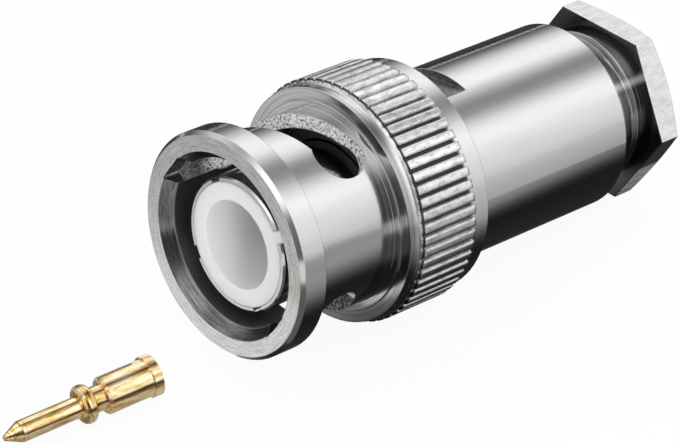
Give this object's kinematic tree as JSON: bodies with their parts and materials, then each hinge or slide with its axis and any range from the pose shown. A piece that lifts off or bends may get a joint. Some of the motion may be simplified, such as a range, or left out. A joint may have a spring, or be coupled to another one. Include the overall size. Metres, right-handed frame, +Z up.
{
  "type": "BNC connector plug",
  "caption": "Clamp-type bayonet coaxial cable plug with knurled coupling nut, spring-finger contact, white insulator, clamp nut and a loose gold centre pin.",
  "frame": {"origin": "centre of the front face of the white insulator, at the mouth of its socket, where the mating connector's insulator enters", "axes": "+Z up from the surface the plug lies on; +Y along the plug as it lies, from the coupling mouth towards the cable end; +X completes a right-handed frame. The plug's own axis falls 5.8 degrees towards the cable, because it lies on its knurl and on a flat of its hexagon"},
  "size_m": [0.0152, 0.0475, 0.0159],
  "materials": {
    "nickel": "bright nickel plate on turned brass",
    "spring_bronze": "rolled strip",
    "white_plastic": "smooth turned fluoropolymer",
    "seal_rubber": "moulded black rubber",
    "gold": "gold plate on turned brass"
  },
  "bodies": {
    "plug": {"body_shell": "nickel", "outer_contact": "nickel", "front_insulator": "white_plastic", "rear_insulator": "white_plastic", "face_gasket": "seal_rubber", "wave_washer_front": "spring_bronze", "wave_washer_rear": "spring_bronze", "braid_clamp": "nickel", "cable_gasket": "seal_rubber", "centre_pin": "gold"},
    "nut_carrier": {"thrust_washer": "spring_bronze"},
    "coupling_nut": {"coupling_nut": "nickel"},
    "clamp_carrier": {"slip_washer": "nickel"},
    "clamp_nut": {"clamp_nut": "nickel"}
  },
  "joints": [
    {"name": "coupling_float", "type": "slide", "parent": "plug", "child": "nut_carrier", "axis": [0, -0.9949, 0.101], "range_m": [0, 0.0009], "stiffness_N_per_m": 2000, "springref_m": -0.0008, "deforming": ["wave_washer_front", "wave_washer_rear"]},
    {"name": "coupling_turn", "type": "hinge", "parent": "nut_carrier", "child": "coupling_nut", "pos_m": [-0.00012, 0.01185, -0.00105], "axis": [0, -0.9949, 0.101], "continuous": true},
    {"name": "clamp_nut_travel", "type": "slide", "parent": "plug", "child": "clamp_carrier", "axis": [0, 0.9949, -0.101], "range_m": [-0.00271, 0.00361]},
    {"name": "clamp_nut_turn", "type": "hinge", "parent": "clamp_carrier", "child": "clamp_nut", "pos_m": [0, 0.03141, -0.00319], "axis": [0, 0.9949, -0.101], "range_deg": [-1296, 1728]}
  ],
  "couplings": [
    {"joint": "clamp_nut_travel", "follows": "clamp_nut_turn", "m_per_rad": 0.00011937}
  ]
}
